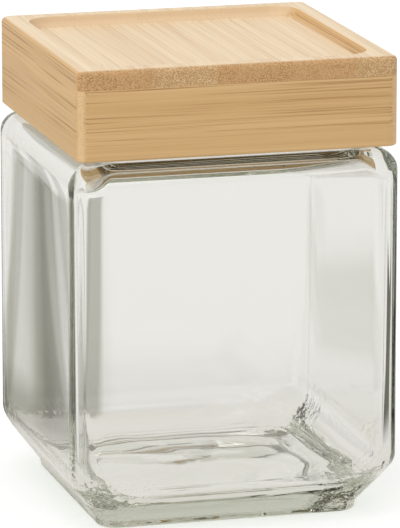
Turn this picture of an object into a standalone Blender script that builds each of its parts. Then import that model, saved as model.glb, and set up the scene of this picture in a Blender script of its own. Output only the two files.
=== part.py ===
# Square glass storage jar with a lift-off bamboo lid.
# Metres, +Z up, origin on the resting plane under the middle of the foot.
# The jar is one pressed glass vessel. The lid is five glued top strips, four mitred
# skirt rails, a plug board and a silicone ring, and it lifts straight off the neck.

import bpy
import bmesh
from math import cos, pi, sin, sqrt

# Jar body
JAR_WIDTH = 0.104
SHOULDER_HEIGHT = 0.1155
JAR_CORNER_RADIUS = 0.009
GLASS_WALL = 0.0036
SHOULDER_RADIUS = 0.007
SHOULDER_TOP_CORNER_RADIUS = 0.005

# Jar foot, which drops into the recess of the lid below when jars are stacked
STACK_CLEARANCE = 0.002
FOOT_RIM_HEIGHT = 0.003
FOOT_RIM_DRAFT = 0.0004
FOOT_EDGE_RADIUS = 0.0012
BEVEL_HEIGHT = 0.0135
BEVEL_BLEND = 0.003
RESTING_LAND_WIDTH = 0.006
PUSH_UP_DEPTH = 0.0008
PUSH_UP_SLOPE_WIDTH = 0.0015

# Jar cavity
BASE_THICKNESS = 0.008
CAVITY_FLOOR_RADIUS = 0.0115
CAVITY_FLOOR_CORNER_RADIUS = 0.026
CAVITY_CORNER_RADIUS = 0.006
CAVITY_SHOULDER_RADIUS = 0.006
BORE_EDGE_RADIUS = 0.0025

# Jar neck, hidden inside the lid's skirt
NECK_CLEARANCE = 0.001
NECK_WALL = 0.0034
NECK_CORNER_RADIUS = 0.008
NECK_ROOT_RADIUS = 0.0012
RIM_RADIUS = 0.0014

# Lid skirt and board
LID_SETBACK = 0.0015
SHOULDER_GAP = 0.0015
LID_CORNER_RADIUS = 0.0035
RAIL_HEIGHT = 0.0217
RAIL_THICKNESS = 0.0072
RAIL_ARRIS_RADIUS = 0.001
BOARD_THICKNESS = 0.006
BOARD_EDGE_RADIUS = 0.0019
STRIP_WIDTH_SHARES = (0.228, 0.203, 0.228, 0.202, 0.139)

# Stacking recess in the lid's top
LIP_WIDTH = 0.0065
RECESS_DEPTH = 0.0034
RECESS_COVE_WIDTH = 0.0035
RECESS_CORNER_RADIUS = 0.009

# Plug under the board and the ring that seals it in the mouth
PLUG_CLEARANCE = 0.0009
PLUG_THICKNESS = 0.012
PLUG_ARRIS = 0.0008
GROOVE_DEPTH = 0.0016
GROOVE_HEIGHT = 0.0046
GROOVE_DROP = 0.0036
SEAL_BACK_THICKNESS = 0.0008
SEAL_FIN_THICKNESS = 0.0008
SEAL_FIN_LIFT = 0.0005

# Gap kept between pieces that touch, how far a cutting shape runs past its cut, and
# how close two points of one mesh lie when they are one point
SEAT_GAP = 0.0003
CUT_OVERRUN = 0.002
MERGE_DISTANCE = 0.000002

# Faces round each quarter turn of a plan corner and of a small edge
CORNER_STEPS = 8
EDGE_STEPS = 4
ROUND_STEPS = 6

# Sizes that follow from the ones above
JAR_HALF = JAR_WIDTH / 2
LID_HALF = JAR_HALF - LID_SETBACK
LID_BOTTOM = SHOULDER_HEIGHT + SHOULDER_GAP
BOARD_BOTTOM = RAIL_HEIGHT + SEAT_GAP
RIM_HEIGHT = LID_BOTTOM + RAIL_HEIGHT
NECK_HALF = LID_HALF - RAIL_THICKNESS - NECK_CLEARANCE
MOUTH_HALF = NECK_HALF - NECK_WALL
MOUTH_CORNER_RADIUS = NECK_CORNER_RADIUS - NECK_WALL
PLUG_HALF = MOUTH_HALF - PLUG_CLEARANCE
PLUG_CORNER_RADIUS = MOUTH_CORNER_RADIUS - PLUG_CLEARANCE
RECESS_HALF = LID_HALF - LIP_WIDTH
FOOT_HALF = RECESS_HALF - STACK_CLEARANCE
FOOT_CORNER_RADIUS = RECESS_CORNER_RADIUS - STACK_CLEARANCE


def new_material(name, color, roughness, transmission=0):
    """A Principled BSDF material with the piece's own colour and gloss."""
    material = bpy.data.materials.new(name)
    material.use_nodes = True
    shader = material.node_tree.nodes["Principled BSDF"]
    shader.inputs["Base Color"].default_value = color
    shader.inputs["Roughness"].default_value = roughness
    shader.inputs["Metallic"].default_value = 0
    shader.inputs["Transmission Weight"].default_value = transmission
    return material


def square_ring(half, corner, height):
    """Points of a square with round corners, counterclockwise seen from above."""
    straight = half - corner
    ring = []
    for quarter in range(4):
        start = quarter * pi / 2
        side_x = 1 if quarter in (0, 3) else -1
        side_y = 1 if quarter in (0, 1) else -1
        for step in range(CORNER_STEPS + 1):
            angle = start + pi / 2 * step / CORNER_STEPS
            x = side_x * straight + corner * cos(angle)
            y = side_y * straight + corner * sin(angle)
            ring.append((x, y, height))
    return ring


def arc_stations(centre, radii, turn, corners, steps):
    """Stations (half width, corner radius, height) along an arc of the wall's section.

    turn gives the first and last angle in quarter turns, from outwards to upwards.
    """
    stations = []
    for step in range(steps + 1):
        share = step / steps
        angle = (turn[0] + (turn[1] - turn[0]) * share) * pi / 2
        half = centre[0] + radii[0] * cos(angle)
        height = centre[1] + radii[1] * sin(angle)
        corner = corners[0] + (corners[1] - corners[0]) * share
        stations.append((half, corner, height))
    return stations


def blend_stations(start, knee, end, corners, steps):
    """Stations along a soft bend from start to end that leans towards the knee."""
    stations = []
    for step in range(steps + 1):
        share = step / steps
        rest = 1 - share
        half = rest * rest * start[0] + 2 * rest * share * knee[0] + share * share * end[0]
        height = rest * rest * start[1] + 2 * rest * share * knee[1] + share * share * end[1]
        corner = corners[0] + (corners[1] - corners[0]) * share
        stations.append((half, corner, height))
    return stations


def loft(name, stations, closed=False):
    """A mesh through square rings, closed on itself or with a flat face at each end."""
    bm = bmesh.new()
    rings = []
    for half, corner, height in stations:
        rings.append([bm.verts.new(point) for point in square_ring(half, corner, height)])
    pairs = list(zip(rings, rings[1:]))
    if closed:
        pairs.append((rings[-1], rings[0]))
    else:
        bm.faces.new(rings[0])
        bm.faces.new(rings[-1])
    for lower, upper in pairs:
        for i in range(len(lower)):
            j = (i + 1) % len(lower)
            bm.faces.new((lower[i], lower[j], upper[j], upper[i]))
    return finish_mesh(name, bm)


def prism(name, outline, bottom, top):
    """A mesh that stands an outline in the XY plane up from bottom to top."""
    bm = bmesh.new()
    face = bm.faces.new([bm.verts.new((x, y, bottom)) for x, y in outline])
    raised = bmesh.ops.extrude_face_region(bm, geom=[face])
    upper = [item for item in raised["geom"] if isinstance(item, bmesh.types.BMVert)]
    bmesh.ops.translate(bm, verts=upper, vec=(0, 0, top - bottom))
    return finish_mesh(name, bm)


def finish_mesh(name, bm):
    """Turn the faces outwards and hand the shape over as a mesh."""
    bmesh.ops.remove_doubles(bm, verts=bm.verts, dist=MERGE_DISTANCE)
    bmesh.ops.recalc_face_normals(bm, faces=bm.faces)
    mesh = bpy.data.meshes.new(name)
    bm.to_mesh(mesh)
    bm.free()
    return mesh


def add_piece(name, mesh, material, parent=None, location=(0, 0, 0), turn=0):
    """One named piece, placed by its location and a turn about its own Z axis."""
    piece = bpy.data.objects.new(name, mesh)
    bpy.context.scene.collection.objects.link(piece)
    piece.parent = parent
    piece.location = location
    piece.rotation_euler = (0, 0, turn)
    if material:
        piece.data.materials.clear()
        piece.data.materials.append(material)
    return piece


def add_cutter(name, mesh, parent, location=(0, 0, 0)):
    """A shape that only trims other pieces and is no piece itself."""
    cutter = add_piece(name, mesh, None, parent, location)
    cutter.hide_render = True
    cutter.display_type = "WIRE"
    return cutter


def keep_inside(piece, envelope):
    """Trim a piece to the part of it that lies inside the envelope."""
    trim = piece.modifiers.new("trim", "BOOLEAN")
    trim.operation = "INTERSECT"
    trim.solver = "EXACT"
    trim.object = envelope


def shade_round(piece, sharp_angle=pi / 6):
    """Smooth shading that keeps the edges sharper than the given angle."""
    piece.data.shade_smooth()
    piece.data.set_sharp_from_angle(angle=sharp_angle)


# Start from an empty scene
for old in list(bpy.data.objects):
    bpy.data.objects.remove(old, do_unlink=True)

clear_glass = new_material("clear_glass", (0.93, 0.96, 0.94, 1), 0.02, transmission=1)
pale_bamboo = new_material("pale_bamboo", (0.80, 0.64, 0.42, 1), 0.5)
tan_bamboo = new_material("tan_bamboo", (0.70, 0.51, 0.29, 1), 0.5)
plug_bamboo = new_material("plug_bamboo", (0.74, 0.56, 0.34, 1), 0.55)
clear_silicone = new_material("clear_silicone", (0.86, 0.87, 0.85, 1), 0.35)


# Glass jar: one wall from the underside, up the outside, over the rim and down the bore
def jar_stations():
    foot_base = FOOT_HALF - FOOT_RIM_DRAFT
    foot_corner = FOOT_CORNER_RADIUS
    land_outer = foot_base - FOOT_EDGE_RADIUS
    land_inner = land_outer - RESTING_LAND_WIDTH
    push_up_half = land_inner - PUSH_UP_SLOPE_WIDTH
    land_corner = foot_corner - FOOT_EDGE_RADIUS
    stations = [
        (push_up_half, land_corner, PUSH_UP_DEPTH),
        (land_inner, land_corner, 0),
    ]
    stations += arc_stations(
        (land_outer, FOOT_EDGE_RADIUS),
        (FOOT_EDGE_RADIUS, FOOT_EDGE_RADIUS),
        (-1, 0),
        (land_corner, foot_corner),
        EDGE_STEPS,
    )
    stations.append((FOOT_HALF, foot_corner, FOOT_RIM_HEIGHT))

    # The bevel runs out from the foot and bends softly into the upright wall
    bevel_top = FOOT_RIM_HEIGHT + BEVEL_HEIGHT
    lean = (JAR_HALF - FOOT_HALF) / BEVEL_HEIGHT
    bend_start = (JAR_HALF - lean * BEVEL_BLEND, bevel_top - BEVEL_BLEND)
    stations += blend_stations(
        bend_start,
        (JAR_HALF, bevel_top),
        (JAR_HALF, bevel_top + BEVEL_BLEND),
        (JAR_CORNER_RADIUS, JAR_CORNER_RADIUS),
        ROUND_STEPS,
    )

    # Shoulder, neck root, neck and the fire-polished rim
    stations += arc_stations(
        (JAR_HALF - SHOULDER_RADIUS, SHOULDER_HEIGHT - SHOULDER_RADIUS),
        (SHOULDER_RADIUS, SHOULDER_RADIUS),
        (0, 1),
        (JAR_CORNER_RADIUS, SHOULDER_TOP_CORNER_RADIUS),
        ROUND_STEPS + EDGE_STEPS,
    )
    root_half = NECK_HALF + NECK_ROOT_RADIUS
    stations += arc_stations(
        (root_half, SHOULDER_HEIGHT + NECK_ROOT_RADIUS),
        (NECK_ROOT_RADIUS, NECK_ROOT_RADIUS),
        (-1, -2),
        (NECK_CORNER_RADIUS + NECK_ROOT_RADIUS, NECK_CORNER_RADIUS),
        EDGE_STEPS,
    )
    stations += arc_stations(
        (NECK_HALF - RIM_RADIUS, RIM_HEIGHT - RIM_RADIUS),
        (RIM_RADIUS, RIM_RADIUS),
        (0, 1),
        (NECK_CORNER_RADIUS, NECK_CORNER_RADIUS - RIM_RADIUS),
        EDGE_STEPS,
    )
    stations += arc_stations(
        (MOUTH_HALF + RIM_RADIUS, RIM_HEIGHT - RIM_RADIUS),
        (RIM_RADIUS, RIM_RADIUS),
        (1, 2),
        (MOUTH_CORNER_RADIUS + RIM_RADIUS, MOUTH_CORNER_RADIUS),
        EDGE_STEPS,
    )

    # Bore edge, inside of the shoulder, cavity wall and the dished floor
    ceiling = SHOULDER_HEIGHT - GLASS_WALL
    cavity_half = JAR_HALF - GLASS_WALL
    stations += arc_stations(
        (MOUTH_HALF + BORE_EDGE_RADIUS, ceiling + BORE_EDGE_RADIUS),
        (BORE_EDGE_RADIUS, BORE_EDGE_RADIUS),
        (-2, -1),
        (MOUTH_CORNER_RADIUS, MOUTH_CORNER_RADIUS + BORE_EDGE_RADIUS),
        EDGE_STEPS,
    )
    stations += arc_stations(
        (cavity_half - CAVITY_SHOULDER_RADIUS, ceiling - CAVITY_SHOULDER_RADIUS),
        (CAVITY_SHOULDER_RADIUS, CAVITY_SHOULDER_RADIUS),
        (1, 0),
        (MOUTH_CORNER_RADIUS + BORE_EDGE_RADIUS, CAVITY_CORNER_RADIUS),
        ROUND_STEPS,
    )
    stations += arc_stations(
        (cavity_half - CAVITY_FLOOR_RADIUS, BASE_THICKNESS + CAVITY_FLOOR_RADIUS),
        (CAVITY_FLOOR_RADIUS, CAVITY_FLOOR_RADIUS),
        (0, -1),
        (CAVITY_CORNER_RADIUS, CAVITY_FLOOR_CORNER_RADIUS),
        ROUND_STEPS + EDGE_STEPS,
    )
    return stations


glass_jar = add_piece("glass_jar", loft("glass_jar", jar_stations()), clear_glass)
shade_round(glass_jar)

# Everything on the lid hangs from one empty on the lift-off axis, at the skirt's foot
lid_axis = bpy.data.objects.new("lid_axis", None)
bpy.context.scene.collection.objects.link(lid_axis)
lid_axis.location = (0, 0, LID_BOTTOM)


# Skirt: four rails with mitred ends, trimmed by the lid's rounded outline
def skirt_outline_stations():
    stations = arc_stations(
        (LID_HALF - RAIL_ARRIS_RADIUS, RAIL_ARRIS_RADIUS),
        (RAIL_ARRIS_RADIUS, RAIL_ARRIS_RADIUS),
        (-1, 0),
        (LID_CORNER_RADIUS - RAIL_ARRIS_RADIUS, LID_CORNER_RADIUS),
        EDGE_STEPS,
    )
    stations.append((LID_HALF, LID_CORNER_RADIUS, RAIL_HEIGHT))
    return stations


skirt_outline = add_cutter(
    "skirt_outline", loft("skirt_outline", skirt_outline_stations()), lid_axis
)

mitre_setback = SEAT_GAP / sqrt(2)
rail_outer = LID_HALF + CUT_OVERRUN
rail_inner = LID_HALF - RAIL_THICKNESS
rail_plan = (
    (-rail_outer + mitre_setback, -rail_outer),
    (rail_outer - mitre_setback, -rail_outer),
    (rail_inner - mitre_setback, -rail_inner),
    (-rail_inner + mitre_setback, -rail_inner),
)
rail_mesh = prism("skirt_rail", rail_plan, -CUT_OVERRUN, RAIL_HEIGHT + CUT_OVERRUN)
for turns, side in enumerate(("front", "right", "back", "left")):
    rail = add_piece(
        "skirt_rail_" + side, rail_mesh, tan_bamboo, lid_axis, turn=turns * pi / 2
    )
    keep_inside(rail, skirt_outline)


# Top board with its round edges and the coved stacking recess
def board_stations():
    stations = [(LID_HALF, LID_CORNER_RADIUS, 0)]
    stations += arc_stations(
        (LID_HALF - BOARD_EDGE_RADIUS, BOARD_THICKNESS - BOARD_EDGE_RADIUS),
        (BOARD_EDGE_RADIUS, BOARD_EDGE_RADIUS),
        (0, 1),
        (LID_CORNER_RADIUS, LID_CORNER_RADIUS - BOARD_EDGE_RADIUS),
        EDGE_STEPS,
    )
    stations += arc_stations(
        (RECESS_HALF - RECESS_COVE_WIDTH, BOARD_THICKNESS),
        (RECESS_COVE_WIDTH, RECESS_DEPTH),
        (0, -1),
        (RECESS_CORNER_RADIUS, RECESS_CORNER_RADIUS - RECESS_COVE_WIDTH),
        EDGE_STEPS,
    )
    return stations


board_outline = add_cutter(
    "board_outline", loft("board_outline", board_stations()), lid_axis, (0, 0, BOARD_BOTTOM)
)

# The board is glued up from strips that run front to back
strip_left = -LID_HALF
for number, share in enumerate(STRIP_WIDTH_SHARES, start=1):
    strip_right = strip_left + share * 2 * LID_HALF
    cut_left = strip_left + SEAT_GAP / 2
    cut_right = strip_right - SEAT_GAP / 2
    if number == 1:
        cut_left = strip_left - CUT_OVERRUN
    if number == len(STRIP_WIDTH_SHARES):
        cut_right = strip_right + CUT_OVERRUN
    strip_depth = LID_HALF + CUT_OVERRUN
    strip_plan = (
        (cut_left, -strip_depth),
        (cut_right, -strip_depth),
        (cut_right, strip_depth),
        (cut_left, strip_depth),
    )
    strip_name = "top_strip_%d" % number
    strip_mesh = prism(strip_name, strip_plan, -CUT_OVERRUN, BOARD_THICKNESS + CUT_OVERRUN)
    strip = add_piece(strip_name, strip_mesh, pale_bamboo, lid_axis, (0, 0, BOARD_BOTTOM))
    keep_inside(strip, board_outline)
    strip_left = strip_right


# Plug: one board glued up under the top, with a groove round it for the ring
def plug_stations():
    groove_half = PLUG_HALF - GROOVE_DEPTH
    groove_corner = PLUG_CORNER_RADIUS - GROOVE_DEPTH
    groove_top = PLUG_THICKNESS - GROOVE_DROP
    groove_bottom = groove_top - GROOVE_HEIGHT
    return [
        (PLUG_HALF - PLUG_ARRIS, PLUG_CORNER_RADIUS, 0),
        (PLUG_HALF, PLUG_CORNER_RADIUS, PLUG_ARRIS),
        (PLUG_HALF, PLUG_CORNER_RADIUS, groove_bottom),
        (groove_half, groove_corner, groove_bottom),
        (groove_half, groove_corner, groove_top),
        (PLUG_HALF, PLUG_CORNER_RADIUS, groove_top),
        (PLUG_HALF, PLUG_CORNER_RADIUS, PLUG_THICKNESS),
    ]


plug_bottom = BOARD_BOTTOM - SEAT_GAP - PLUG_THICKNESS
plug_board = add_piece(
    "plug_board", loft("plug_board", plug_stations()), plug_bamboo, lid_axis, (0, 0, plug_bottom)
)


# Seal: a silicone ring with a flat back in the groove and two fins that meet the mouth
def seal_stations():
    back = PLUG_HALF - GROOVE_DEPTH + SEAT_GAP
    body = back + SEAL_BACK_THICKNESS
    tip = MOUTH_HALF - SEAT_GAP
    groove_top = PLUG_THICKNESS - GROOVE_DROP
    top = groove_top - SEAT_GAP
    bottom = groove_top - GROOVE_HEIGHT + SEAT_GAP
    height = top - bottom
    fin_space = (height - 2 * SEAL_FIN_THICKNESS) / 2
    corner_base = PLUG_CORNER_RADIUS - PLUG_HALF
    profile = [(back, bottom), (body, bottom)]
    for root in (bottom + fin_space / 2, bottom + fin_space * 3 / 2 + SEAL_FIN_THICKNESS):
        tip_bottom = root + SEAL_FIN_LIFT
        profile.append((body, root))
        profile.append((tip, tip_bottom))
        profile.append((tip, tip_bottom + SEAL_FIN_THICKNESS / 2))
        profile.append((body, root + SEAL_FIN_THICKNESS))
    profile += [(body, top), (back, top)]
    return [(half, half + corner_base, height) for half, height in profile]


seal_mesh = loft("seal_ring", seal_stations(), closed=True)
seal_ring = add_piece("seal_ring", seal_mesh, clear_silicone, lid_axis, (0, 0, plug_bottom))
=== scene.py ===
from math import cos, pi, radians, sin

import bmesh
import bpy
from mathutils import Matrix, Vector, noise


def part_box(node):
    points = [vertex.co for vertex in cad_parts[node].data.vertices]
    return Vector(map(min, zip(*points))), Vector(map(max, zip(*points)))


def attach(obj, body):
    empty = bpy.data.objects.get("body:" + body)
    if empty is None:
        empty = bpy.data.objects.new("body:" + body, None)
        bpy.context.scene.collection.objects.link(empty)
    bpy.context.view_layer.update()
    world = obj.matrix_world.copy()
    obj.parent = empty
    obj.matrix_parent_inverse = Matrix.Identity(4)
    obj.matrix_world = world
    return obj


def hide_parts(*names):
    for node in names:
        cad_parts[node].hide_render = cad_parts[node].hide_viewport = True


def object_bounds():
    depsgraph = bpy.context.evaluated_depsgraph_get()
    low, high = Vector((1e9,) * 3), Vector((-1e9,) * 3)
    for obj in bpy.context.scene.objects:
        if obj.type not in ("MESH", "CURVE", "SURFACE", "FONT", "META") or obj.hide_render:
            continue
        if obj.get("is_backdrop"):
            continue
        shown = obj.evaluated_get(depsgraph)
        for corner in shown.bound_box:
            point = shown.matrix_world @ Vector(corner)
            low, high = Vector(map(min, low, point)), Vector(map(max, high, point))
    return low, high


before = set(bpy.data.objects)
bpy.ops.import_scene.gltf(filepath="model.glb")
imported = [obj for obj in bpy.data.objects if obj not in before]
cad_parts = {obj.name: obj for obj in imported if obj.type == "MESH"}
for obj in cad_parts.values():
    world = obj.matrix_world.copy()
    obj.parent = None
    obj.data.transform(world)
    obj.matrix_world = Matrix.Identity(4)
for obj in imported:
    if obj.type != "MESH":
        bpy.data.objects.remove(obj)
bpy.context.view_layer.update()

# Glass jar. One piece of clear soda-lime glass, pressed square in a mould, with a heavy
# base, a bevelled foot that drops into the lid below, and a fire-polished neck that goes
# up inside the lid. The plunger leaves the inside a little wavy.
jar_low, jar_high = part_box("glass_jar")
JAR_HALF = (jar_high.x - jar_low.x) / 2
RIM_HEIGHT = jar_high.z
SHOULDER_HEIGHT = 0.1155
JAR_CORNER = 0.009
SHOULDER_RADIUS = 0.007
SHOULDER_TOP_CORNER = 0.005
FOOT_HALF = 0.042
FOOT_CORNER = 0.007
FOOT_RIM_HEIGHT = 0.003
FOOT_RIM_DRAFT = 0.0004
FOOT_EDGE_RADIUS = 0.0012
FOOT_LAND_WIDTH = 0.006
PUSH_UP_DEPTH = 0.0008
PUSH_UP_SLOPE = 0.0015
BEVEL_TOP = 0.0165
BEVEL_BLEND = 0.003
GLASS_WALL = 0.0036
BASE_THICKNESS = 0.008
BASE_DOME = 0.002
CAVITY_FLOOR_RADIUS = 0.0115
CAVITY_FLOOR_CORNER = 0.026
CAVITY_CORNER = 0.006
WALL_BELLY = 0.0002
WALL_WAVE = 0.0001
CORNER_WAVE = 0.0004
CORNER_WAVE_POWER = 3
WALL_WAVE_WIDTH = 0.014
WALL_WAVE_HEIGHT = 0.11
FLOOR_WAVE = 0.0007
FLOOR_WAVE_WIDTH = 0.011
FLOOR_CORD = 0.00012
FLOOR_CORD_WIDTH = 0.004
FLOOR_WAVE_FADE = CAVITY_FLOOR_RADIUS / 2
CAVITY_SHOULDER_RADIUS = 0.006
MOUTH_HALF = 0.0389
MOUTH_CORNER = 0.0046
BORE_EDGE_RADIUS = 0.0025
NECK_HALF = 0.0423
NECK_CORNER = 0.008
NECK_ROOT_RADIUS = 0.0012
RIM_RADIUS = 0.0014
CORNER_SEGMENTS = 14
SIDE_CUTS = 19
ARC_STEPS = 8
WALL_RINGS = 24
DOME_RINGS = 8


def select_only(piece):
    """Make one object the only one selected, and the active one."""
    bpy.ops.object.select_all(action="DESELECT")
    piece.select_set(True)
    bpy.context.view_layer.objects.active = piece


def arc_rings(centre, radius, turn, corners):
    """Rings (half width, corner, height) round an arc, in quarter turns from outwards."""
    rings = []
    for step in range(ARC_STEPS + 1):
        share = step / ARC_STEPS
        angle = (turn[0] + (turn[1] - turn[0]) * share) * pi / 2
        corner = corners[0] + (corners[1] - corners[0]) * share
        rings.append((centre[0] + radius * cos(angle), corner, centre[1] + radius * sin(angle)))
    return rings


def wall_rings(half, corner, start, end):
    """Rings up or down a straight wall, between its two ends."""
    rings = []
    for step in range(1, WALL_RINGS):
        rings.append((half, corner, start + (end - start) * step / WALL_RINGS))
    return rings


def bend_rings(start, knee, end, corner):
    """Rings along a soft bend from start to end that leans towards the knee."""
    rings = []
    for step in range(ARC_STEPS + 1):
        share = step / ARC_STEPS
        rest = 1 - share
        half = rest * rest * start[0] + 2 * rest * share * knee[0] + share * share * end[0]
        height = rest * rest * start[1] + 2 * rest * share * knee[1] + share * share * end[1]
        rings.append((half, corner, height))
    return rings


def start_square(name, half, corner, height):
    """A flat square with round corners, ready in edit mode to be drawn up ring by ring."""
    bpy.ops.object.select_all(action="DESELECT")
    bpy.ops.mesh.primitive_plane_add(size=2 * half, location=(0, 0, height))
    piece = bpy.context.object
    piece.name = piece.data.name = name
    bpy.ops.object.transform_apply(location=True, rotation=True, scale=True)
    bpy.ops.object.mode_set(mode="EDIT")
    bpy.ops.mesh.select_all(action="SELECT")
    bpy.ops.mesh.bevel(offset=corner, segments=CORNER_SEGMENTS, affect="VERTICES")
    mesh = bmesh.from_edit_mesh(piece.data)
    for edge in mesh.edges:
        edge.select_set(edge.calc_length() > half)
    mesh.select_flush_mode()
    bpy.ops.mesh.subdivide(number_cuts=SIDE_CUTS)
    bpy.ops.mesh.select_all(action="SELECT")
    return piece


def draw_ring(piece, last, ring):
    """Extrude the open square and set its width, its round corners and its height."""
    bpy.ops.mesh.extrude_region_move()
    mesh = bmesh.from_edit_mesh(piece.data)
    straight, new_straight = last[0] - last[1], ring[0] - ring[1]
    spread, round_share = new_straight / straight, ring[1] / last[1]
    for vert in mesh.verts:
        if vert.select:
            core_x = max(-straight, min(straight, vert.co.x))
            core_y = max(-straight, min(straight, vert.co.y))
            vert.co.x = core_x * spread + (vert.co.x - core_x) * round_share
            vert.co.y = core_y * spread + (vert.co.y - core_y) * round_share
            vert.co.z = ring[2]
    bmesh.update_edit_mesh(piece.data)


def draw_up(name, rings):
    """Draw a whole piece up from its first ring to its last, and leave edit mode."""
    piece = start_square(name, *rings[0])
    for last, ring in zip(rings, rings[1:]):
        draw_ring(piece, last, ring)
    bpy.ops.mesh.select_all(action="SELECT")
    bpy.ops.mesh.normals_make_consistent(inside=False)
    bpy.ops.object.mode_set(mode="OBJECT")
    return piece


foot_outer = FOOT_HALF - FOOT_RIM_DRAFT
land_outer = foot_outer - FOOT_EDGE_RADIUS
land_inner = land_outer - FOOT_LAND_WIDTH
land_corner = FOOT_CORNER - FOOT_EDGE_RADIUS
lean = (JAR_HALF - FOOT_HALF) / (BEVEL_TOP - FOOT_RIM_HEIGHT)
ceiling = SHOULDER_HEIGHT - GLASS_WALL
cavity_half = JAR_HALF - GLASS_WALL
cavity_top = ceiling - CAVITY_SHOULDER_RADIUS
cavity_bottom = BASE_THICKNESS + CAVITY_FLOOR_RADIUS

jar_rings = [
    (land_inner - PUSH_UP_SLOPE, land_corner, PUSH_UP_DEPTH),
    (land_inner, land_corner, 0),
]
jar_rings += arc_rings(
    (land_outer, FOOT_EDGE_RADIUS), FOOT_EDGE_RADIUS, (-1, 0), (land_corner, FOOT_CORNER)
)
jar_rings.append((FOOT_HALF, FOOT_CORNER, FOOT_RIM_HEIGHT))
jar_rings += bend_rings(
    (JAR_HALF - lean * BEVEL_BLEND, BEVEL_TOP - BEVEL_BLEND),
    (JAR_HALF, BEVEL_TOP),
    (JAR_HALF, BEVEL_TOP + BEVEL_BLEND),
    JAR_CORNER,
)
jar_rings += wall_rings(
    JAR_HALF, JAR_CORNER, BEVEL_TOP + BEVEL_BLEND, SHOULDER_HEIGHT - SHOULDER_RADIUS
)
jar_rings += arc_rings(
    (JAR_HALF - SHOULDER_RADIUS, SHOULDER_HEIGHT - SHOULDER_RADIUS),
    SHOULDER_RADIUS,
    (0, 1),
    (JAR_CORNER, SHOULDER_TOP_CORNER),
)
jar_rings += arc_rings(
    (NECK_HALF + NECK_ROOT_RADIUS, SHOULDER_HEIGHT + NECK_ROOT_RADIUS),
    NECK_ROOT_RADIUS,
    (-1, -2),
    (NECK_CORNER + NECK_ROOT_RADIUS, NECK_CORNER),
)
jar_rings += arc_rings(
    (NECK_HALF - RIM_RADIUS, RIM_HEIGHT - RIM_RADIUS),
    RIM_RADIUS,
    (0, 1),
    (NECK_CORNER, NECK_CORNER - RIM_RADIUS),
)
jar_rings += arc_rings(
    (MOUTH_HALF + RIM_RADIUS, RIM_HEIGHT - RIM_RADIUS),
    RIM_RADIUS,
    (1, 2),
    (MOUTH_CORNER + RIM_RADIUS, MOUTH_CORNER),
)
jar_rings += arc_rings(
    (MOUTH_HALF + BORE_EDGE_RADIUS, ceiling + BORE_EDGE_RADIUS),
    BORE_EDGE_RADIUS,
    (-2, -1),
    (MOUTH_CORNER, MOUTH_CORNER + BORE_EDGE_RADIUS),
)
jar_rings += arc_rings(
    (cavity_half - CAVITY_SHOULDER_RADIUS, cavity_top),
    CAVITY_SHOULDER_RADIUS,
    (1, 0),
    (MOUTH_CORNER + BORE_EDGE_RADIUS, CAVITY_CORNER),
)
jar_rings += wall_rings(cavity_half, CAVITY_CORNER, cavity_top, cavity_bottom)
jar_rings += arc_rings(
    (cavity_half - CAVITY_FLOOR_RADIUS, cavity_bottom),
    CAVITY_FLOOR_RADIUS,
    (0, -1),
    (CAVITY_CORNER, CAVITY_FLOOR_CORNER),
)
floor_half = cavity_half - CAVITY_FLOOR_RADIUS
for step in range(1, DOME_RINGS):
    share = 1 - step / DOME_RINGS
    rise = BASE_DOME * (1 - share * share)
    jar_rings.append((floor_half * share, CAVITY_FLOOR_CORNER * share, BASE_THICKNESS + rise))

jar = draw_up("pressed_glass_jar", jar_rings)

# The plunger's mark: the inside of the wall bows out between the corners and gets wavier
# towards them, and the floor is uneven, with the cords of the cooling gob of glass
for vert in jar.data.vertices:
    reach = max(abs(vert.co.x), abs(vert.co.y))
    if reach < cavity_half + GLASS_WALL / 2 and BASE_THICKNESS / 2 < vert.co.z < ceiling:
        fade = min(1, (ceiling - vert.co.z) / CAVITY_SHOULDER_RADIUS)
        corner_share = min(abs(vert.co.x), abs(vert.co.y)) / cavity_half
        place = Vector((vert.co.x, vert.co.y, 0)) / WALL_WAVE_WIDTH
        place.z = vert.co.z / WALL_WAVE_HEIGHT
        wave = WALL_WAVE + CORNER_WAVE * corner_share ** CORNER_WAVE_POWER
        wave *= noise.noise(place)
        belly = WALL_BELLY * cos(corner_share * pi) / 2
        floor_share = max(0, min(1, (cavity_bottom - vert.co.z) / FLOOR_WAVE_FADE))
        dip = FLOOR_WAVE * noise.noise(vert.co / FLOOR_WAVE_WIDTH)
        dip += FLOOR_CORD * noise.noise(vert.co / FLOOR_CORD_WIDTH)
        vert.co += vert.normal * (fade * (wave + belly) + floor_share * dip)


def new_material(name):
    """A material, with its nodes and links to add to and its Principled shader."""
    material = bpy.data.materials.new(name)
    material.use_nodes = True
    return material, material.node_tree, material.node_tree.nodes["Principled BSDF"]


def wire(tree, kind, inputs=None, **settings):
    """Add one shader node, with its settings and with values or links for its inputs."""
    node = tree.nodes.new(kind)
    for key, value in settings.items():
        setattr(node, key, value)
    for key, value in (inputs or {}).items():
        if isinstance(value, bpy.types.NodeSocket):
            tree.links.new(value, node.inputs[key])
        else:
            node.inputs[key].default_value = value
    return node


def reckon(tree, operation, *values):
    """Work out one sum, product or the like from numbers and links."""
    node = wire(tree, "ShaderNodeMath", dict(enumerate(values)), operation=operation)
    return node.outputs[0]


def span(tree, value, ends, levels=(0.0, 1.0), curve="LINEAR"):
    """Turn a value between two ends into a level between two levels."""
    node = wire(
        tree,
        "ShaderNodeMapRange",
        {
            "Value": value,
            "From Min": ends[0],
            "From Max": ends[1],
            "To Min": levels[0],
            "To Max": levels[1],
        },
        interpolation_type=curve,
    )
    return node.outputs[0]


def noise_span(tree, vector, spacing, detail, ends, levels=(0.0, 1.0)):
    """Soft noise with features of one spacing, its range between two ends as levels."""
    node = wire(
        tree, "ShaderNodeTexNoise", {"Vector": vector, "Scale": 1 / spacing, "Detail": detail}
    )
    return span(tree, node.outputs["Fac"], ends, levels)


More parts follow.
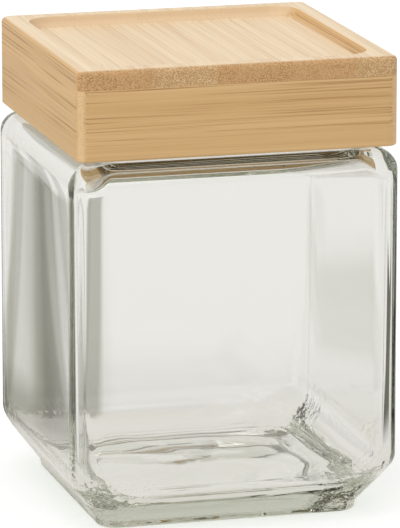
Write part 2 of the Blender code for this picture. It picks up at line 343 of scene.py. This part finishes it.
WHITE = (1, 1, 1, 1)
GLASS_IOR = 1.52
GLASS_TINT = (0.55, 0.58, 0.46, 1)
GLASS_TINT_DENSITY = 13
GLASS_SHADOW = (0.93, 0.95, 0.93, 1)
HAZE_SPACING = 0.02
HAZE_DETAIL = 3
HAZE_ENDS = (0.55, 0.75)
HAZE_ROUGHNESS = 0.015
CHILL_SPACING = 0.003
CHILL_DETAIL = 2
CHILL_RELIEF = 0.0008
CHILL_HEIGHTS = (0.021, 0.0105)
CHILL_CORNER_AREAS = (0.0011, 0.0018)

glass, tree, shader = new_material("clear_soda_lime_glass")
output = tree.nodes["Material Output"]
shader.inputs["Base Color"].default_value = WHITE
shader.inputs["Transmission Weight"].default_value = 1
shader.inputs["IOR"].default_value = GLASS_IOR
on_glass = wire(tree, "ShaderNodeTexCoord").outputs["Object"]
haze = noise_span(
    tree, on_glass, HAZE_SPACING, HAZE_DETAIL, HAZE_ENDS, (0.0, HAZE_ROUGHNESS)
)
tree.links.new(haze, shader.inputs["Roughness"])

# Where the hot glass first met the cold mould, at the foot's corners, its skin is rippled
ripple = wire(
    tree,
    "ShaderNodeTexNoise",
    {"Vector": on_glass, "Scale": 1 / CHILL_SPACING, "Detail": CHILL_DETAIL},
)
parts = wire(tree, "ShaderNodeSeparateXYZ", {0: on_glass})
area = reckon(tree, "MULTIPLY", parts.outputs["X"], parts.outputs["Y"])
at_corner = span(tree, reckon(tree, "ABSOLUTE", area), CHILL_CORNER_AREAS)
at_foot = span(tree, parts.outputs["Z"], CHILL_HEIGHTS)
skin = wire(
    tree,
    "ShaderNodeBump",
    {
        "Height": ripple.outputs["Fac"],
        "Strength": reckon(tree, "MULTIPLY", at_corner, at_foot),
        "Distance": CHILL_RELIEF,
    },
)
tree.links.new(skin.outputs[0], shader.inputs["Normal"])

# Light on its way to the bamboo or the paper goes straight through, so the shadow is pale
path = wire(tree, "ShaderNodeLightPath")
clear = wire(tree, "ShaderNodeBsdfTransparent", {"Color": GLASS_SHADOW})
mixed = wire(
    tree,
    "ShaderNodeMixShader",
    {
        0: reckon(
            tree, "MAXIMUM", path.outputs["Is Shadow Ray"], path.outputs["Is Diffuse Ray"]
        ),
        1: shader.outputs[0],
        2: clear.outputs[0],
    },
)
tree.links.new(mixed.outputs[0], output.inputs["Surface"])
tint = wire(
    tree,
    "ShaderNodeVolumeAbsorption",
    {"Color": GLASS_TINT, "Density": GLASS_TINT_DENSITY},
)
tree.links.new(tint.outputs[0], output.inputs["Volume"])
jar.data.materials.append(glass)
select_only(jar)
bpy.ops.object.shade_smooth()
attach(jar, "jar")
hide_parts("glass_jar")


# Skirt of the lid. Four bamboo rails, each glued up from a wide and a narrow strip laid
# flat, cut to length with mitred ends and glued round the edge of the top. The outer
# corners and the lower arris are sanded round.
rail_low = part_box("skirt_rail_front")[0]
LID_HALF = -rail_low.y
LID_CORNER = 0.0035
RAIL_THICKNESS = 0.0072
RAIL_ARRIS = 0.001
RAIL_BOTTOM = rail_low.z
BOARD_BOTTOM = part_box("top_strip_1")[0].z
GLUE_LINE = 0.00002
SAW_TOLERANCE = 0.000001
LACQUER_ROUGHNESS = (0.39, 0.55)
LACQUER_SPECULAR = 0.3
FIBRE_RELIEF = 0.00008
FIBRE_RELIEF_STRENGTH = 0.3
FIBRE_STRETCH = 0.006
BAND_SPACING = 0.006
BAND_DETAIL = 3
STREAK_SPACING = 0.0011
STREAK_DETAIL = 4
STREAK_ENDS = (0.3, 0.7)
GROUND_ENDS = (0.3, 1.7)
LINE_SPACING = 0.0005
LINE_DETAIL = 2
LINE_ENDS = (0.53, 0.66)
LINE_STRENGTH = 0.85
FEW_LINES = 0.3
BUNDLE_SPACING = 0.00045
BUNDLE_EDGE = (0.2, 0.6)
CROWD_SPACING = 0.004
CROWD_DETAIL = 2
CROWD_ENDS = (0.3, 0.6)
FEW_BUNDLES = 0.1
TOP_FACING = (0.75, 0.98)
END_FACING = (0.15, 0.6)
JOINT_WIDTH = 0.0002
NARROW_STRIP = 0.006
RAIL_TONES = (
    (0.71, 0.465, 0.22, 1),
    (0.59, 0.365, 0.155, 1),
    (0.71, 0.465, 0.22, 1),
    (0.59, 0.365, 0.155, 1),
    (0.73, 0.50, 0.26, 1),
    (0.50, 0.29, 0.12, 1),
)
RAIL_SPECKLE = 0.45
RAIL_SHIFT = (0.031, 0.047, 0.083)
FIBRE_BROWN = (0.38, 0.19, 0.06, 1)
SHARP_ANGLE = radians(35)


def cut_away(piece, point, normal):
    """Saw a piece through and keep what lies behind the cut, with a flat sawn face."""
    select_only(piece)
    bpy.ops.object.mode_set(mode="EDIT")
    bpy.ops.mesh.select_all(action="SELECT")
    bpy.ops.mesh.bisect(
        plane_co=point,
        plane_no=normal,
        use_fill=True,
        clear_outer=True,
        threshold=SAW_TOLERANCE,
    )
    bpy.ops.object.mode_set(mode="OBJECT")


def copy_piece(piece, name):
    """A copy with a mesh of its own."""
    copy = piece.copy()
    copy.data = piece.data.copy()
    copy.name = copy.data.name = name
    bpy.context.scene.collection.objects.link(copy)
    return copy


def blend(tree, share, first, second, kind="MIX"):
    """Mix two colours, or multiply one by the other."""
    node = wire(
        tree,
        "ShaderNodeMix",
        {"Factor": share, "A": first, "B": second},
        data_type="RGBA",
        blend_type=kind,
    )
    return node.outputs["Result"]


def bamboo_material(name, grain, shift, tones, speckle, joint=0):
    """Lacquered bamboo with its grain along one axis.

    The tones are the pale and deep colours of the sides, of the top and of the sawn
    ends; the top's are partly the sanded face and partly painted sheen of the light from above.
    A rail has fewer lines below the height of its glue joint.
    """
    side_pale, side_deep, top_pale, top_deep, end_pale, end_deep = tones
    material, tree, shader = new_material(name)
    coords = wire(tree, "ShaderNodeTexCoord")
    place = wire(tree, "ShaderNodeSeparateXYZ", {0: coords.outputs["Object"]})
    facing = wire(tree, "ShaderNodeSeparateXYZ", {0: coords.outputs["Normal"]})
    stretch = [1, 1, 1]
    stretch[grain] = FIBRE_STRETCH
    along = wire(
        tree,
        "ShaderNodeMapping",
        {"Vector": coords.outputs["Object"], "Location": shift, "Scale": stretch},
    ).outputs[0]

    # Broad bands and fine streaks in the ground colour
    bands = noise_span(tree, along, BAND_SPACING, BAND_DETAIL, STREAK_ENDS)
    streaks = noise_span(tree, along, STREAK_SPACING, STREAK_DETAIL, STREAK_ENDS)
    # Faces turned up take the top tones, which on the strips are painted paler as painted sheen
    # of the light from above, partly also the sanded face
    upward = span(tree, facing.outputs["Z"], TOP_FACING)
    pale = blend(tree, upward, side_pale, top_pale)
    deep = blend(tree, upward, side_deep, top_deep)
    drift = span(tree, reckon(tree, "ADD", bands, streaks), GROUND_ENDS)
    ground = blend(tree, drift, deep, pale)

    # Thin dark fibre lines, fewer on the smooth strip under the joint and on the top
    lines = noise_span(tree, along, LINE_SPACING, LINE_DETAIL, LINE_ENDS)
    for value, ends, levels in (
        (place.outputs["Z"], (joint, joint + JOINT_WIDTH), (FEW_LINES, 1.0)),
        (facing.outputs["Z"], TOP_FACING, (1.0, FEW_LINES)),
    ):
        lines = reckon(tree, "MULTIPLY", lines, span(tree, value, ends, levels))
    drawn = reckon(tree, "MULTIPLY", lines, LINE_STRENGTH)
    lined = blend(tree, drawn, ground, FIBRE_BROWN)

    # Sawn ends: brown fibre bundles as dots, crowded where the stem's skin was
    bundles = wire(tree, "ShaderNodeTexVoronoi", {"Vector": along, "Scale": 1 / BUNDLE_SPACING})
    dots = span(tree, bundles.outputs["Distance"], BUNDLE_EDGE, (1.0, 0.0))
    crowd = noise_span(
        tree, along, CROWD_SPACING, CROWD_DETAIL, CROWD_ENDS, (speckle / 2, speckle)
    )
    from_middle = reckon(tree, "ABSOLUTE", place.outputs[grain])
    end_depths = (LID_HALF - LID_CORNER, LID_HALF - LID_CORNER / 2)
    sawn_end = span(tree, from_middle, end_depths)
    crowd = reckon(
        tree, "MULTIPLY", crowd, span(tree, from_middle, end_depths, (FEW_BUNDLES, 1.0))
    )
    dots = reckon(tree, "MULTIPLY", dots, crowd)
    sawn = blend(tree, dots, blend(tree, sawn_end, top_deep, end_pale), end_deep)
    square_on = reckon(tree, "ABSOLUTE", facing.outputs[grain])
    colour = blend(tree, span(tree, square_on, END_FACING), lined, sawn)
    tree.links.new(colour, shader.inputs["Base Color"])

    gloss = span(tree, streaks, (0.0, 1.0), LACQUER_ROUGHNESS)
    tree.links.new(gloss, shader.inputs["Roughness"])
    shader.inputs["Specular IOR Level"].default_value = LACQUER_SPECULAR
    relief = wire(
        tree,
        "ShaderNodeBump",
        {
            "Height": reckon(tree, "SUBTRACT", streaks, lines),
            "Strength": FIBRE_RELIEF_STRENGTH,
            "Distance": FIBRE_RELIEF,
        },
    )
    tree.links.new(relief.outputs[0], shader.inputs["Normal"])
    return material


block_inner = LID_HALF - RAIL_THICKNESS * 2
block_top = BOARD_BOTTOM - GLUE_LINE
skirt_rings = [(block_inner, LID_CORNER, RAIL_BOTTOM)]
skirt_rings += arc_rings(
    (LID_HALF - RAIL_ARRIS, RAIL_BOTTOM + RAIL_ARRIS),
    RAIL_ARRIS,
    (-1, 0),
    (LID_CORNER - RAIL_ARRIS, LID_CORNER),
)
skirt_rings += [(LID_HALF, LID_CORNER, block_top), (block_inner, LID_CORNER, block_top)]
skirt_block = draw_up("skirt_block", skirt_rings)

rail = copy_piece(skirt_block, "bamboo_rail")
mitre = GLUE_LINE / 2
cut_away(rail, (0, -LID_HALF + RAIL_THICKNESS, 0), (0, 1, 0))
cut_away(rail, (0, -mitre, 0), (1, 1, 0))
cut_away(rail, (0, -mitre, 0), (-1, 1, 0))
bpy.data.objects.remove(skirt_block)

for turns, side in enumerate(("front", "right", "back", "left")):
    piece = copy_piece(rail, "bamboo_rail_" + side)
    select_only(piece)
    bpy.ops.object.mode_set(mode="EDIT")
    bpy.ops.mesh.select_all(action="SELECT")
    bpy.ops.transform.rotate(value=-turns * pi / 2, orient_axis="Z", center_override=(0, 0, 0))
    bpy.ops.object.mode_set(mode="OBJECT")
    bpy.ops.object.shade_smooth_by_angle(angle=SHARP_ANGLE)
    piece.data.materials.clear()
    piece.data.materials.append(
        bamboo_material(
            "rail_bamboo_" + side,
            turns % 2,
            [turns * part for part in RAIL_SHIFT],
            RAIL_TONES,
            RAIL_SPECKLE,
            RAIL_BOTTOM + NARROW_STRIP,
        )
    )
    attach(piece, "lid")
    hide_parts("skirt_rail_" + side)
bpy.data.objects.remove(rail)


# Top of the lid. Five flat-pressed bamboo strips glued edge to edge, their grain running
# front to back, so the front and back edges show the sawn ends. The recess that takes
# the foot of another jar is milled out afterwards, with a coved wall.
BOARD_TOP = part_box("top_strip_1")[1].z
BOARD_EDGE = 0.0019
LIP_WIDTH = 0.0065
RECESS_DEPTH = 0.0034
RECESS_COVE = 0.0035
RECESS_COVE_START = 2
RECESS_EDGE = 0.0005
RECESS_EDGE_TURN = (1, 5 / 3)
RECESS_CORNER = 0.009
FLOOR_MARGIN = 0.001
# Sides, then the top, painted paler and less yellow than the sides: partly the sanded face,
# partly painted sheen from above
TOP_TONES = (
    (0.72, 0.47, 0.22, 1),
    (0.60, 0.37, 0.16, 1),
    (0.87, 0.71, 0.50, 1),
    (0.75, 0.55, 0.34, 1),
)
CORE_ENDS = ((0.59, 0.35, 0.155, 1), (0.34, 0.18, 0.07, 1))
SKIN_ENDS = ((0.48, 0.28, 0.12, 1), (0.74, 0.53, 0.29, 1))
STRIP_ENDS = (CORE_ENDS, SKIN_ENDS, CORE_ENDS, CORE_ENDS, SKIN_ENDS)
STRIP_SPECKLE = (1.1, 1.2, 1.1, 0.9, 1.2)
STRIP_SHIFT = (0.037, 0.21, 0.011)

recess_half = LID_HALF - LIP_WIDTH
board_rings = [
    (LID_HALF - FLOOR_MARGIN, LID_CORNER, BOARD_BOTTOM),
    (LID_HALF, LID_CORNER, BOARD_BOTTOM),
]
board_rings += arc_rings(
    (LID_HALF - BOARD_EDGE, BOARD_TOP - BOARD_EDGE),
    BOARD_EDGE,
    (0, 1),
    (LID_CORNER, LID_CORNER - BOARD_EDGE),
)
board_rings += arc_rings(
    (recess_half + RECESS_EDGE, BOARD_TOP - RECESS_EDGE),
    RECESS_EDGE,
    RECESS_EDGE_TURN,
    (RECESS_CORNER + RECESS_EDGE, RECESS_CORNER),
)
for step in range(RECESS_COVE_START, ARC_STEPS + 1):
    angle = step / ARC_STEPS * pi / 2
    board_rings.append(
        (
            recess_half - RECESS_COVE * (1 - cos(angle)),
            RECESS_CORNER - RECESS_COVE * (1 - cos(angle)),
            BOARD_TOP - RECESS_DEPTH * sin(angle),
        )
    )
board_rings.append(
    (
        recess_half - RECESS_COVE - FLOOR_MARGIN,
        RECESS_CORNER - RECESS_COVE - FLOOR_MARGIN,
        BOARD_TOP - RECESS_DEPTH,
    )
)
board = draw_up("top_board", board_rings)

strip_count = len(STRIP_ENDS)
for number in range(1, strip_count + 1):
    name = "top_strip_%d" % number
    low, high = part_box(name)
    piece = copy_piece(board, "bamboo_strip_%d" % number)
    if number > 1:
        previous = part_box("top_strip_%d" % (number - 1))[1].x
        cut_away(piece, ((low.x + previous + GLUE_LINE) / 2, 0, 0), (-1, 0, 0))
    if number < strip_count:
        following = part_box("top_strip_%d" % (number + 1))[0].x
        cut_away(piece, ((high.x + following - GLUE_LINE) / 2, 0, 0), (1, 0, 0))
    select_only(piece)
    bpy.ops.object.shade_smooth_by_angle(angle=SHARP_ANGLE)
    piece.data.materials.clear()
    piece.data.materials.append(
        bamboo_material(
            "strip_bamboo_%d" % number,
            1,
            [number * part for part in STRIP_SHIFT],
            TOP_TONES + STRIP_ENDS[number - 1],
            STRIP_SPECKLE[number - 1],
        )
    )
    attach(piece, "lid")
    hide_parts(name)
bpy.data.objects.remove(board)


# Plug. A plain bamboo board glued under the top, which centres the lid in the mouth. A
# groove for the seal runs round its edge, and its lower arris is eased.
plug_low, plug_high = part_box("plug_board")
PLUG_HALF = plug_high.x
PLUG_BOTTOM = plug_low.z
PLUG_TOP = plug_high.z
PLUG_CORNER = 0.0037
PLUG_ARRIS = 0.0008
PLUG_EASE = 0.00015
GROOVE_DEPTH = 0.0016
GROOVE_HEIGHT = 0.0046
GROOVE_DROP = 0.0036
PLUG_SHIFT = (0.27, 0.09, 0.13)

groove_half = PLUG_HALF - GROOVE_DEPTH
groove_corner = PLUG_CORNER - GROOVE_DEPTH
groove_top = PLUG_TOP - GROOVE_DROP
groove_bottom = groove_top - GROOVE_HEIGHT
plug_rings = [
    (PLUG_HALF / 2, PLUG_CORNER, PLUG_BOTTOM),
    (PLUG_HALF - PLUG_ARRIS, PLUG_CORNER, PLUG_BOTTOM),
]
plug_rings += arc_rings(
    (PLUG_HALF - PLUG_ARRIS, PLUG_BOTTOM + PLUG_ARRIS),
    PLUG_ARRIS,
    (-1, 0),
    (PLUG_CORNER, PLUG_CORNER),
)
plug_rings += arc_rings(
    (PLUG_HALF - PLUG_EASE, groove_bottom - PLUG_EASE),
    PLUG_EASE,
    (0, 1),
    (PLUG_CORNER, PLUG_CORNER),
)
plug_rings += [
    (groove_half, groove_corner, groove_bottom),
    (groove_half, groove_corner, groove_top),
]
plug_rings += arc_rings(
    (PLUG_HALF - PLUG_EASE, groove_top + PLUG_EASE),
    PLUG_EASE,
    (-1, 0),
    (PLUG_CORNER, PLUG_CORNER),
)
plug_rings += [
    (PLUG_HALF, PLUG_CORNER, PLUG_TOP),
    (PLUG_HALF / 2, PLUG_CORNER, PLUG_TOP),
]
plug = draw_up("bamboo_plug", plug_rings)
select_only(plug)
bpy.ops.object.shade_smooth_by_angle(angle=SHARP_ANGLE)
plug.data.materials.append(
    bamboo_material("plug_bamboo", 0, PLUG_SHIFT, RAIL_TONES, RAIL_SPECKLE)
)
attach(plug, "lid")
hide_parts("plug_board")


# Seal. A moulded ring of translucent silicone with a flat back that sits in the plug's
# groove, and two soft fins that lean up and brush the inside of the neck.
seal_low, seal_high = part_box("seal_ring")
SEAL_TIP = seal_high.x
SEAL_BOTTOM = seal_low.z
SEAL_TOP = seal_high.z
SEAT_GAP = 0.0003
SEAL_BACK = 0.0008
FIN_THICKNESS = 0.0008
FIN_LIFT = 0.0005
FIN_TIP_RADIUS = FIN_THICKNESS / 4
SILICONE_COLOUR = (0.80, 0.82, 0.79, 1)
SILICONE_IOR = 1.41
SILICONE_MILKINESS = 0.4
SILICONE_ROUGHNESS = (0.30, 0.45)
SILICONE_GRAIN_SCALE = 1500
SILICONE_RELIEF = 0.00005
SILICONE_RELIEF_STRENGTH = 0.15

seal_inner = groove_half + SEAT_GAP
seal_body = seal_inner + SEAL_BACK
seal_corner_base = PLUG_CORNER - PLUG_HALF
fin_space = (SEAL_TOP - SEAL_BOTTOM - 2 * FIN_THICKNESS) / 2
seal_profile = [(seal_inner, SEAL_BOTTOM), (seal_body, SEAL_BOTTOM)]
for root in (fin_space / 2, fin_space * 3 / 2 + FIN_THICKNESS):
    fin_bottom = SEAL_BOTTOM + root
    fin_middle = fin_bottom + FIN_LIFT + FIN_TIP_RADIUS
    seal_profile.append((seal_body, fin_bottom))
    for step in range(ARC_STEPS + 1):
        angle = (step / ARC_STEPS - 1 / 2) * pi
        seal_profile.append(
            (
                SEAL_TIP - FIN_TIP_RADIUS * (1 - cos(angle)),
                fin_middle + FIN_TIP_RADIUS * sin(angle),
            )
        )
    seal_profile.append((seal_body, fin_bottom + FIN_THICKNESS))
seal_profile += [(seal_body, SEAL_TOP), (seal_inner, SEAL_TOP)]
seal_rings = [(half, half + seal_corner_base, height) for half, height in seal_profile]
seal = draw_up("silicone_seal", seal_rings)

# The ring is open through its middle: the two end caps go and its back joins them
select_only(seal)
bpy.ops.object.mode_set(mode="EDIT")
bpy.ops.mesh.select_all(action="DESELECT")
mesh = bmesh.from_edit_mesh(seal.data)
for face in mesh.faces:
    face.select_set(len(face.verts) > 4)
bmesh.update_edit_mesh(seal.data)
bpy.ops.mesh.delete(type="FACE")
bpy.ops.mesh.select_all(action="DESELECT")
bpy.ops.mesh.select_non_manifold()
bpy.ops.mesh.bridge_edge_loops()
bpy.ops.mesh.select_all(action="SELECT")
bpy.ops.mesh.normals_make_consistent(inside=False)
bpy.ops.object.mode_set(mode="OBJECT")
bpy.ops.object.shade_smooth_by_angle(angle=SHARP_ANGLE)

silicone, tree, shader = new_material("clear_silicone")
shader.inputs["Base Color"].default_value = SILICONE_COLOUR
shader.inputs["IOR"].default_value = SILICONE_IOR
shader.inputs["Subsurface Weight"].default_value = SILICONE_MILKINESS
shader.inputs["Subsurface Scale"].default_value = FIN_THICKNESS
coords = wire(tree, "ShaderNodeTexCoord")
grain = wire(
    tree,
    "ShaderNodeTexNoise",
    {"Vector": coords.outputs["Object"], "Scale": SILICONE_GRAIN_SCALE},
)
gloss = span(tree, grain.outputs["Fac"], (0.0, 1.0), SILICONE_ROUGHNESS)
tree.links.new(gloss, shader.inputs["Roughness"])
relief = wire(
    tree,
    "ShaderNodeBump",
    {
        "Height": grain.outputs["Fac"],
        "Strength": SILICONE_RELIEF_STRENGTH,
        "Distance": SILICONE_RELIEF,
    },
)
tree.links.new(relief.outputs[0], shader.inputs["Normal"])
seal.data.materials.append(silicone)
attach(seal, "lid")
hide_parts("seal_ring")


# Camera. It stands where the photograph was taken from, about 1.6 m away with a long lens,
# a little above the lid and a little left of the jar's front.
CAMERA_TARGET = Vector((0.00143, -0.00027, 0.07205))
CAMERA_AZIMUTH = radians(-15.5936)
CAMERA_ELEVATION = radians(12.9301)
CAMERA_DISTANCE = 1.5885
CAMERA_LENS_MM = 345.23
CAMERA_SENSOR_MM = 36
CAMERA_FAR = 20

camera_data = bpy.data.cameras.new("photo_camera")
camera = bpy.data.objects.new("photo_camera", camera_data)
bpy.context.scene.collection.objects.link(camera)
back = Vector(
    (
        sin(CAMERA_AZIMUTH) * cos(CAMERA_ELEVATION),
        -cos(CAMERA_AZIMUTH) * cos(CAMERA_ELEVATION),
        sin(CAMERA_ELEVATION),
    )
)
camera.location = CAMERA_TARGET + back * CAMERA_DISTANCE
camera.rotation_euler = (-back).to_track_quat("-Z", "Y").to_euler()
camera_data.lens = CAMERA_LENS_MM
camera_data.sensor_width = CAMERA_SENSOR_MM
camera_data.clip_end = CAMERA_FAR
bpy.context.scene.camera = camera


# Floor. White paper that keeps the jar's shadow. Soft grey strips are painted on it behind the
# jar and at its right, where only the glass shows them: painted reflections and painted shade
# that make the glass's edges show.
FLOOR_SIZE = 6
FLOOR_GAP = 0.0001
PAPER_WHITE = (0.9, 0.9, 0.9, 1)
PAPER_ROUGHNESS = 0.9
PAPER_LIFT = (0.25, 0.45)
PAPER_LIFT_ENDS = (0.5, 1.5)
TENT_TONE = (0.86, 0.85, 0.815, 1)
# Painted cream tone and painted shadow of the paper next to the jar, seen only in the glass
NEAR_PAINTED_TONE = (0.92, 0.90, 0.83, 1)
NEAR_ENDS = (0.08, 0.12)
SHADE_DEPTH = 0.82
SHADE_ENDS = (0.06, 0.22)
PAINTED_REFLECTION_REACH = 0.2
PAINTED_REFLECTION_COOLNESS = 1.15
PAINTED_REFLECTION_FRONT = (-0.1, -0.05)
PAINTED_REFLECTION_BACK = (0.6, 0.7)
# The first painted strips are a painted reflection in the left wall, the next painted shade
# seen straight through the jar and the last a painted reflection in its right edge. Each row is
# a distance across the strips and the tone there.
MIRROR_ACROSS = (1, 0.2457, 0)
MIRROR_PAINTED_REFLECTIONS = (
    (-0.0930, 1.0),
    (-0.0900, 0.1),
    (-0.0830, 0.1),
    (-0.0790, 1.0),
    (-0.0745, 1.0),
    (-0.0722, 0.1),
    (-0.0590, 0.05),
    (-0.0562, 0.3),
    (-0.0530, 0.5),
    (-0.0500, 0.85),
    (-0.0470, 1.0),
    (-0.0395, 1.0),
    (-0.0375, 0.55),
    (-0.0300, 0.5),
    (-0.0270, 1.0),
)
THROUGH_ACROSS = (1, -0.2457, 0)
THROUGH_PAINTED_SHADE = (
    (-0.1250, 1.0),
    (-0.1050, 0.5),
    (-0.0850, 0.4),
    (-0.0720, 0.5),
    (-0.0430, 0.5),
    (-0.0365, 0.75),
    (-0.0260, 1.0),
)
EDGE_ACROSS = (0.3665, -0.9304, 0)
EDGE_PAINTED_REFLECTION = (
    (0.0420, 1.0),
    (0.0480, 0.1),
    (0.0850, 0.1),
    (0.0910, 1.0),
)
EDGE_PAINTED_REFLECTION_START = (0.12, 0.17)


def soft_span(tree, value, ends, levels=(0.0, 1.0)):
    """A span that eases in and out at its ends."""
    return span(tree, value, ends, levels, "SMOOTHSTEP")


def seen_in_glass(tree):
    """1 for a ray that a clear or glossy piece sends on, and 0 for any other."""
    path = wire(tree, "ShaderNodeLightPath")
    return reckon(
        tree, "MAXIMUM", path.outputs["Is Glossy Ray"], path.outputs["Is Transmission Ray"]
    )


def painted_reflection_strips(tree, on_paper, across, rows):
    """Soft grey strips painted along the floor, seen only in the glass as painted reflections
    and painted shade, toned by the distance across them.
    """
    distance = wire(
        tree, "ShaderNodeVectorMath", {0: on_paper, 1: across}, operation="DOT_PRODUCT"
    ).outputs["Value"]
    share = span(tree, distance, (-PAINTED_REFLECTION_REACH, PAINTED_REFLECTION_REACH))
    ramp = wire(tree, "ShaderNodeValToRGB", {0: share})
    stops = ramp.color_ramp.elements
    for stop, end in zip(stops, (0, 1)):
        stop.position, stop.color = end, WHITE
    for position, tone in rows:
        stop = stops.new((position / PAINTED_REFLECTION_REACH + 1) / 2)
        stop.color = (tone, tone, tone ** PAINTED_REFLECTION_COOLNESS, 1)
    return ramp.outputs["Color"]


bpy.ops.object.select_all(action="DESELECT")
bpy.ops.mesh.primitive_plane_add(size=FLOOR_SIZE, location=(0, 0, -FLOOR_GAP))
floor = bpy.context.object
floor.name = "floor"
paper, tree, shader = new_material("white_paper")
output = tree.nodes["Material Output"]
shader.inputs["Base Color"].default_value = PAPER_WHITE
shader.inputs["Roughness"].default_value = PAPER_ROUGHNESS
shader.inputs["Specular IOR Level"].default_value = 0
shader.inputs["Emission Color"].default_value = WHITE
on_paper = wire(tree, "ShaderNodeTexCoord").outputs["Object"]
place = wire(tree, "ShaderNodeSeparateXYZ", {0: on_paper})
away = wire(tree, "ShaderNodeVectorMath", {0: on_paper}, operation="LENGTH").outputs["Value"]
in_camera = wire(tree, "ShaderNodeLightPath").outputs["Is Camera Ray"]
lift = reckon(tree, "MULTIPLY", in_camera, soft_span(tree, away, PAPER_LIFT_ENDS, PAPER_LIFT))
tree.links.new(lift, shader.inputs["Emission Strength"])

# Painted reflections and painted shade: grey strips on the paper that only the glass shows
mirror = painted_reflection_strips(tree, on_paper, MIRROR_ACROSS, MIRROR_PAINTED_REFLECTIONS)
through = painted_reflection_strips(tree, on_paper, THROUGH_ACROSS, THROUGH_PAINTED_SHADE)
edge = painted_reflection_strips(tree, on_paper, EDGE_ACROSS, EDGE_PAINTED_REFLECTION)
edge = blend(tree, soft_span(tree, place.outputs["X"], EDGE_PAINTED_REFLECTION_START), WHITE, edge)
painted_reflections = blend(tree, 1.0, blend(tree, 1.0, mirror, through, "MULTIPLY"), edge, "MULTIPLY")
painted_reflections = blend(tree, soft_span(tree, place.outputs["Y"], PAINTED_REFLECTION_FRONT), WHITE, painted_reflections)
painted_reflections = blend(tree, soft_span(tree, place.outputs["Y"], PAINTED_REFLECTION_BACK), painted_reflections, WHITE)
painted_reflection_tone = blend(tree, 1.0, painted_reflections, TENT_TONE, "MULTIPLY")
# Seen only in the glass, the paper is painted cream next to the jar and painted darker towards
# it: a painted shadow and painted tone that show through the base and the foot
near = soft_span(tree, away, NEAR_ENDS, (1.0, 0.0))
painted_glass_view = wire(
    tree,
    "ShaderNodeEmission",
    {
        "Color": blend(tree, near, painted_reflection_tone, NEAR_PAINTED_TONE),
        "Strength": soft_span(tree, away, SHADE_ENDS, (SHADE_DEPTH, 1.0)),
    },
)
mixed = wire(
    tree,
    "ShaderNodeMixShader",
    {0: seen_in_glass(tree), 1: shader.outputs[0], 2: painted_glass_view.outputs[0]},
)
tree.links.new(mixed.outputs[0], output.inputs["Surface"])
floor.data.materials.append(paper)
floor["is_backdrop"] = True


# Surroundings. A white light tent all round: white behind the jar, a shade darker where the
# glass shows it, and a plain soft level of light on everything in it.
TENT_LIGHT = 0.7
TENT_WHITE = 1.0

world = bpy.data.worlds.new("studio")
bpy.context.scene.world = world
world.use_nodes = True
tree = world.node_tree
tent = tree.nodes["Background"]
in_camera = wire(tree, "ShaderNodeLightPath").outputs["Is Camera Ray"]
in_glass = seen_in_glass(tree)
shown = reckon(tree, "MAXIMUM", in_glass, in_camera)
level = span(tree, shown, (0.0, 1.0), (TENT_LIGHT, TENT_WHITE))
tree.links.new(level, tent.inputs["Strength"])
tree.links.new(blend(tree, in_glass, WHITE, TENT_TONE), tent.inputs["Color"])


# Lamps. One large softbox over the jar and a second at its left, both turned down low, so
# that the lid's top is the lightest part and the shadow on the paper stays faint.
TOP_SOFTBOX_PLACE = (-0.2, -0.2, 1.3)
TOP_SOFTBOX_SIZE = 1.2
TOP_SOFTBOX_WATTS = 6
LEFT_SOFTBOX_PLACE = (-1.3, -0.9, 0.6)
LEFT_SOFTBOX_SIZE = 1.0
LEFT_SOFTBOX_WATTS = 4.5
LAMP_AIM = Vector((0, 0, 0.07))


def add_softbox(name, place, size, watts):
    """A square soft lamp at a place, turned towards the middle of the jar."""
    lamp = bpy.data.lights.new(name, "AREA")
    lamp.shape = "SQUARE"
    lamp.size = size
    lamp.energy = watts
    box = bpy.data.objects.new(name, lamp)
    bpy.context.scene.collection.objects.link(box)
    box.location = place
    box.rotation_euler = (LAMP_AIM - Vector(place)).to_track_quat("-Z", "Y").to_euler()


add_softbox("top_softbox", TOP_SOFTBOX_PLACE, TOP_SOFTBOX_SIZE, TOP_SOFTBOX_WATTS)
add_softbox("left_softbox", LEFT_SOFTBOX_PLACE, LEFT_SOFTBOX_SIZE, LEFT_SOFTBOX_WATTS)


# Look. Plain display of the colours as they are, and enough bounces for light to find its
# way out of the glass.
GLASS_BOUNCES = 32
scene = bpy.context.scene
scene.view_settings.view_transform = "Standard"
scene.cycles.max_bounces = GLASS_BOUNCES
scene.cycles.glossy_bounces = GLASS_BOUNCES
scene.cycles.transmission_bounces = GLASS_BOUNCES


# Size. The bounds of the solids and of the dressed jar.
low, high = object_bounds()
